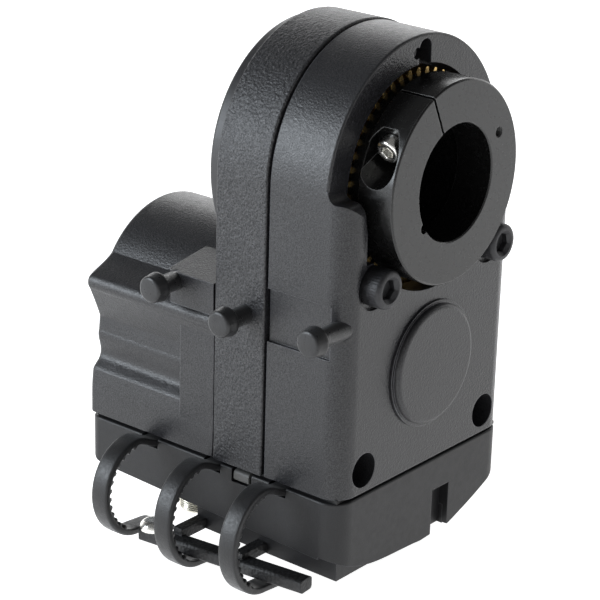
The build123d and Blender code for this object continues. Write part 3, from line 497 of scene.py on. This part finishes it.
def add_clamp_screw():
    """M3 cap screw that closes the collar, bright plated."""
    joint = joints["clamp_screw_turn"]
    outward = Vector(joint["axis"]).normalized()
    middle = Vector(joint["pos_m"]) / MM
    reaches = [outward.dot(vertex.co / MM - middle) for vertex in frame["nodes"]["clamp_screw"].data.vertices]
    face = middle + outward * max(reaches)
    length = max(reaches) - min(reaches)
    rings = [
        ("round", 0, 2.0),
        ("hex", 1.45, 1.75),
        ("hex", 1.45, 0.22),
        ("round", 1.72, 0.04),
        ("round", 2.05, 0.0),
        ("round", 2.4, 0.07),
        ("round", 2.62, 0.28),
        ("round", 2.73, 0.6),
        ("round", 2.75, 1.0),
        ("round", 2.75, 2.8),
        ("round", 2.6, 3.0),
        ("round", 1.5, 3.0),
        ("round", 1.5, length - 0.4),
        ("round", 1.1, length),
        ("round", 0, length),
    ]
    form = turned(rings, face, -outward)
    add_piece("bright_clamp_screw", *form, "clamp_screw", "bright_steel", "clamp_screw")


def add_collar_thread():
    """Thread inside the collar's small face hole."""
    hole = Vector(mounts["collar_tapped_hole"]["pos_m"]) / MM
    steps = 88
    inside = [("thread", 1.24, 0.25 + 5.5 * step / steps) for step in range(steps + 1)]
    rings = [("round", 1.27, 0.2)] + inside + [("round", 1.27, 5.8)]
    add_piece("collar_thread", *turned(rings, hole, (0, 1, 0), 48, looped=True), "output", "anodised_collar")


def add_power_socket():
    """Threaded power socket that hangs through the base, with its contact pin."""
    low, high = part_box("power_socket")
    bottom = Vector(((low.x + high.x) / 2, (low.y + high.y) / 2, low.z)) / MM
    height = (high.z - low.z) / MM
    steps = 56
    threads = [("thread", 4.4, 0.3 + 3.4 * step / steps) for step in range(steps + 1)]
    mouth = [(0, 6.8), (2.8, 6.8), (2.8, 0.15), (2.95, 0.0), (4.0, 0.0)]
    barrel = [(4.35, 3.85), (4.0, 3.9), (4.0, height), (0, height)]
    tip = [(0, 2.0), (0.7, 2.05), (0.95, 2.4), (1.0, 2.8), (1.0, 6.9), (0, 6.9)]
    rings = [("round", *ring) for ring in mouth] + threads + [("round", *ring) for ring in barrel]
    pin = [("round", *ring) for ring in tip]
    forms = joined(turned(rings, bottom, (0, 0, 1)), turned(pin, bottom, (0, 0, 1), 32))
    add_piece("threaded_socket", *forms, "housing", "contact_metal", "power_socket")


# ---- Pegs and straps ----------------------------------------------------------------------------
def add_peg(node):
    """Rubber cable peg: a short stem under a rounded, chamfered head."""
    low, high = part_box(node)
    low, high = low / MM, high / MM
    face = (low.x, (low.y + high.y) / 2, (low.z + high.z) / 2)
    reach = high.x - low.x
    rings = [
        ("round", 0, 0.04),
        ("round", 2.25, 0.0),
        ("round", 2.40, 0.03),
        ("round", 2.72, 0.15),
        ("round", 2.90, 0.35),
        ("round", 2.98, 0.65),
        ("round", 3.20, 2.3),
        ("round", 3.30, 2.5),
        ("round", 3.30, 3.0),
        ("round", 3.16, 3.25),
        ("round", 2.70, 3.4),
        ("round", 2.30, 3.5),
        ("round", 2.15, 3.8),
        ("round", 2.15, reach),
        ("round", 0, reach),
    ]
    add_piece(node + "_rubber", *turned(rings, face, (1, 0, 0)), "housing", "peg_rubber", node)


def ease(value, low, high):
    """Smooth step from 0 at low to 1 at high."""
    share = min(1.0, max(0.0, (value - low) / (high - low)))
    return share * share * (3 - 2 * share)


def strap_line(bottom):
    """Middle line of a strap in X and Z, from the seam round the loop to the tail's end."""
    line = []
    count = 10
    for step in range(count):
        line.append((STRAP_ROOT_X + (SEAM_X - STRAP_ROOT_X) * step / count, STRAP_ROOT_Z))
    start, end = (SEAM_X, STRAP_ROOT_Z), (LOOP_X, LOOP_TOP)
    for step in range(24):
        u = step / 24
        h1, h2 = 2 * u**3 - 3 * u**2 + 1, u**3 - 2 * u**2 + u
        h3, h4 = -2 * u**3 + 3 * u**2, u**3 - u**2
        x = h1 * start[0] - LEAD_RUN * h2 + h3 * end[0] - LEAD_RUN * h4
        z = h1 * start[1] + LEAD_RISE * h2 + h3 * end[1]
        line.append((x, z))
    middle, half_height = (LOOP_TOP + bottom) / 2, (LOOP_TOP - bottom) / 2
    for step in range(160):
        angle = pi / 2 + pi * step / 160
        line.append((LOOP_X + LOOP_HALF_WIDTH * cos(angle), middle + half_height * sin(angle)))
    for step in range(25):
        line.append((LOOP_X + TAIL_LENGTH * step / 24, bottom - TAIL_DROP * step / 24))
    return line


def evenly(line, spacing):
    """Points at equal steps along a line, each with its distance and direction."""
    reached = [0.0]
    for first, second in zip(line, line[1:]):
        reached.append(reached[-1] + hypot(second[0] - first[0], second[1] - first[1]))
    count = round(reached[-1] / spacing)
    points, part = [], 0
    for number in range(count + 1):
        distance = reached[-1] * number / count
        while part < len(line) - 2 and reached[part + 1] < distance:
            part += 1
        share = (distance - reached[part]) / (reached[part + 1] - reached[part])
        x = line[part][0] + share * (line[part + 1][0] - line[part][0])
        z = line[part][1] + share * (line[part + 1][1] - line[part][1])
        points.append((distance, x, z))
    result = []
    for number, (distance, x, z) in enumerate(points):
        before, after = points[max(0, number - 1)], points[min(count, number + 1)]
        run, rise = after[1] - before[1], after[2] - before[2]
        length = hypot(run, rise)
        result.append((distance, x, z, run / length, rise / length))
    return result


def add_strap(node):
    """Rubber cable strap: rounded edges, a crowned outer side and ribs along the loop's inner side."""
    low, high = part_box(node)
    y = (low.y + high.y) / 2 / MM
    half_width = (high.y - low.y) / 2 / MM
    bottom = low.z / MM + TAIL_DROP + STRAP_HALF_THICKNESS
    points = evenly(strap_line(bottom), STRAP_STEP)
    total = points[-1][0]
    loop_end = total - TAIL_LENGTH - RIBS_END
    section = []
    for quarter in range(4):
        turn = pi / 2 * quarter
        across = (half_width - STRAP_CORNER) * (1 if quarter in (0, 3) else -1)
        through = (STRAP_HALF_THICKNESS - STRAP_CORNER) * (1 if quarter in (0, 1) else -1)
        for step in range(5):
            angle = turn + pi / 2 * step / 4
            section.append((across + STRAP_CORNER * cos(angle), through + STRAP_CORNER * sin(angle)))
    crossings = [0.6, 0.2, -0.2, -0.6]
    section[5:5] = [(half_width * share, STRAP_HALF_THICKNESS) for share in crossings]
    section[19:19] = [(-half_width * share, -STRAP_HALF_THICKNESS) for share in crossings]
    corners = []
    for distance, x, z, run, rise in points:
        wave = (distance - RIBS_START) / RIB_PITCH % 1.0
        rib = RIB_HEIGHT * (ease(wave, 0.10, 0.32) - ease(wave, 0.62, 0.84))
        rib *= ease(distance, RIBS_START, RIBS_START + 0.5) * (1 - ease(distance, loop_end - 0.5, loop_end))
        left = total - distance
        narrow = sqrt(max(0.02, 1 - (1 - min(1.0, left / half_width)) ** 2))
        thin = 0.62 + 0.38 * ease(left, 0.0, 1.2)
        for across, through in section:
            edge = 1 - ease(abs(across), half_width - RIB_MARGIN, half_width)
            depth = through * thin
            if through > 0:
                depth += STRAP_CROWN * (1 - (across / half_width) ** 2) * thin
            else:
                depth -= rib * edge
            # positive depth points away from the loop's middle
            corners.append((x + rise * depth, y + across * narrow, z - run * depth))
    size = len(section)
    faces = []
    for number in range(len(points) - 1):
        for step in range(size):
            following = (step + 1) % size
            first, second = number * size, (number + 1) * size
            faces.append([first + step, first + following, second + following, second + step])
    faces.append(list(range(size)))
    last = (len(points) - 1) * size
    faces.append([last + step for step in reversed(range(size))])
    add_piece(node + "_rubber", corners, faces, "housing", "strap_rubber", node, sharp=60)


add_housing_screws()
add_clamp_screw()
add_collar_thread()
add_power_socket()
for place in ("back", "middle", "front"):
    add_peg("peg_" + place)
    add_strap("strap_" + place)


# ---- Floor and light ----------------------------------------------------------------------------
def add_stage():
    """White floor that curves up into a low backdrop, lit from within like a light table."""
    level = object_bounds()[0].z - FLOOR_GAP
    half_width, front, wall, curve, height = 3.0, -3.0, 1.8, 0.6, 1.25
    profile = [(front, 0.0), (wall - curve, 0.0)]
    for step in range(1, 13):
        angle = pi / 2 * step / 12
        profile.append((wall - curve + curve * sin(angle), curve - curve * cos(angle)))
    profile.append((wall, height))
    direction = Vector((-sin(VIEW_AZIMUTH), cos(VIEW_AZIMUTH), 0))
    across = Vector((direction.y, -direction.x, 0))
    corners = []
    for run, rise in profile:
        for side in (-half_width, half_width):
            corners.append(direction * run + across * side + Vector((0, 0, level + rise)))
    faces = [[2 * row, 2 * row + 1, 2 * row + 3, 2 * row + 2] for row in range(len(profile) - 1)]
    mesh = bpy.data.meshes.new("floor")
    mesh.from_pydata(corners, [], faces)
    mesh.polygons.foreach_set("use_smooth", [True] * len(mesh.polygons))
    paint = bpy.data.materials.new("floor_paint")
    paint.use_nodes = True
    principled = paint.node_tree.nodes["Principled BSDF"]
    principled.inputs["Base Color"].default_value = (0.90, 0.90, 0.90, 1)
    principled.inputs["Roughness"].default_value = 0.9
    principled.inputs["Emission Color"].default_value = (1.0, 1.0, 1.0, 1)
    principled.inputs["Emission Strength"].default_value = FLOOR_GLOW
    mesh.materials.append(paint)
    floor = bpy.data.objects.new("floor", mesh)
    bpy.context.scene.collection.objects.link(floor)


def add_softbox(name, place, size, power, colour=(1.0, 1.0, 1.0)):
    """Square soft light that faces the object."""
    data = bpy.data.lights.new(name, "AREA")
    data.shape = "SQUARE"
    data.size = size
    data.energy = power
    data.color = colour
    light = bpy.data.objects.new(name, data)
    direction = LIT_PLACE - Vector(place)
    light.rotation_mode = "QUATERNION"
    light.rotation_quaternion = direction.to_track_quat("-Z", "Y")
    light.location = place
    bpy.context.scene.collection.objects.link(light)


def add_world(low, high):
    """Even surroundings, of strength low at the horizon and fading to high overhead."""
    world = bpy.data.worlds.new("studio")
    world.use_nodes = True
    nodes, links = world.node_tree.nodes, world.node_tree.links
    place = nodes.new("ShaderNodeTexCoord")
    parts = nodes.new("ShaderNodeSeparateXYZ")
    fade = nodes.new("ShaderNodeMapRange")
    fade.interpolation_type = "SMOOTHSTEP"
    fade.inputs["From Min"].default_value = 0.25
    fade.inputs["From Max"].default_value = 0.75
    fade.inputs["To Min"].default_value = low
    fade.inputs["To Max"].default_value = high
    links.new(place.outputs["Generated"], parts.inputs["Vector"])
    links.new(parts.outputs["Z"], fade.inputs["Value"])
    links.new(fade.outputs["Result"], nodes["Background"].inputs["Strength"])
    nodes["Background"].inputs["Color"].default_value = (1.0, 1.0, 1.0, 1)
    bpy.context.scene.world = world


add_stage()
add_softbox("left_softbox", (-0.88, 0.70, 0.34), 0.62, 10.5, colour=(0.86, 0.93, 1.0))
add_softbox("back_softbox", (0.95, 0.85, 0.42), 0.55, 0.8)
add_world(0.55, 0.15)
bpy.context.scene.view_settings.view_transform = "Standard"
